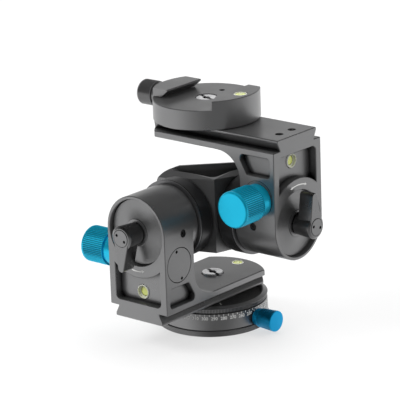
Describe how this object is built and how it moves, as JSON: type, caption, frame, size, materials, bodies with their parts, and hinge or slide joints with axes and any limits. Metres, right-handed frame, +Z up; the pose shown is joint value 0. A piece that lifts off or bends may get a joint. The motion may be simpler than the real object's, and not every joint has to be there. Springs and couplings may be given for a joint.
{
  "type": "geared tripod head",
  "caption": "Tripod head with a panning base, worm driven tilt units set at right angles, clutch levers, spirit levels and a dovetail plate clamp on top.",
  "frame": {"origin": "middle of the underside of the whole box, both tilts level, the head standing on its base ring", "axes": "+Z up along the pan axis, -Y out of the front face of the lower drum, +X out of the front face of the upper drum"},
  "size_m": [0.136, 0.1194, 0.1506],
  "materials": {
    "anodised": "satin dark grey anodised",
    "dark": "satin black anodised",
    "black": "gloss black anodised",
    "blue": "bright blue anodised, knurled",
    "steel": "turned",
    "brass": "machined",
    "vial": "clear yellow green"
  },
  "bodies": {
    "base": {"base_ring": "dark", "base_body": "anodised", "tripod_bush": "steel", "pan_bearing": "steel", "pan_lock_pad": "brass"},
    "pan_lock": {"pan_lock_screw": "steel", "pan_lock_knob": "blue"},
    "pan_unit": {"pan_disc": "anodised", "pan_brake_ring": "steel", "arm_screw": "steel", "lower_bracket": "anodised", "lower_rear_cover": "dark", "lower_bearing": "steel", "lower_front_dish": "anodised", "lower_worm_bush": "brass", "lower_worm_cap": "anodised", "lower_window_level": "vial", "lower_arm_level": "vial"},
    "lower_clutch": {"lower_lever": "black", "lower_lever_cap": "anodised"},
    "lower_drive": {"lower_worm": "steel", "lower_worm_knob": "blue"},
    "elbow_unit": {"elbow": "anodised", "lower_flange": "black", "lower_spindle": "steel", "lower_spindle_nut": "steel", "lower_worm_wheel": "brass", "upper_flange": "black", "upper_spindle": "steel", "upper_spindle_nut": "steel", "upper_worm_wheel": "brass"},
    "upper_unit": {"upper_bracket": "anodised", "upper_rear_cover": "dark", "upper_bearing": "steel", "upper_front_dish": "anodised", "upper_worm_bush": "brass", "upper_worm_cap": "anodised", "upper_window_level": "vial", "clamp_body": "anodised", "clamp_screw": "steel", "clamp_level": "vial", "clamp_guide_front": "steel", "clamp_guide_rear": "steel"},
    "upper_clutch": {"upper_lever": "black", "upper_lever_cap": "anodised"},
    "upper_drive": {"upper_worm": "steel", "upper_worm_knob": "blue"},
    "jaw": {"clamp_jaw": "anodised"},
    "jaw_knob": {"clamp_knob": "dark", "clamp_rod": "steel"}
  },
  "joints": [
    {"name": "pan_turn", "type": "hinge", "parent": "base", "child": "pan_unit", "pos_m": [-0.01635, 0.02455, 0.0149], "axis": [0, 0, 1], "continuous": true},
    {"name": "pan_lock_turn", "type": "hinge", "parent": "base", "child": "pan_lock", "pos_m": [0.01915, 0.02455, 0.0082], "axis": [1, 0, 0], "range_deg": [0, 360]},
    {"name": "lower_tilt", "type": "hinge", "parent": "pan_unit", "child": "elbow_unit", "pos_m": [-0.01635, -0.00145, 0.0756], "axis": [0, 1, 0], "range_deg": [-30, 30]},
    {"name": "lower_drive_turn", "type": "hinge", "parent": "pan_unit", "child": "lower_drive", "pos_m": [-0.01635, -0.03315, 0.0571], "axis": [1, 0, 0], "range_deg": [-1080, 1080]},
    {"name": "lower_clutch_turn", "type": "hinge", "parent": "pan_unit", "child": "lower_clutch", "pos_m": [-0.01635, -0.04595, 0.0756], "axis": [0, -1, 0], "range_deg": [0, 45]},
    {"name": "upper_tilt", "type": "hinge", "parent": "elbow_unit", "child": "upper_unit", "pos_m": [0.00965, 0.02455, 0.0756], "axis": [1, 0, 0], "range_deg": [-30, 30]},
    {"name": "upper_drive_turn", "type": "hinge", "parent": "upper_unit", "child": "upper_drive", "pos_m": [0.04135, 0.02455, 0.0941], "axis": [0, 1, 0], "range_deg": [-1080, 1080]},
    {"name": "upper_clutch_turn", "type": "hinge", "parent": "upper_unit", "child": "upper_clutch", "pos_m": [0.05415, 0.02455, 0.0756], "axis": [1, 0, 0], "range_deg": [0, 45]},
    {"name": "jaw_slide", "type": "slide", "parent": "upper_unit", "child": "jaw", "axis": [-1, 0, 0], "range_m": [0, 0.005]},
    {"name": "jaw_knob_turn", "type": "hinge", "parent": "jaw", "child": "jaw_knob", "pos_m": [-0.05595, 0.02455, 0.1412], "axis": [-1, 0, 0], "range_deg": [0, 2250]}
  ],
  "couplings": [
    {"joint": "lower_drive_turn", "follows": "lower_tilt", "ratio": 36},
    {"joint": "upper_drive_turn", "follows": "upper_tilt", "ratio": 36},
    {"joint": "jaw_knob_turn", "follows": "jaw_slide", "rad_per_m": 7854}
  ]
}
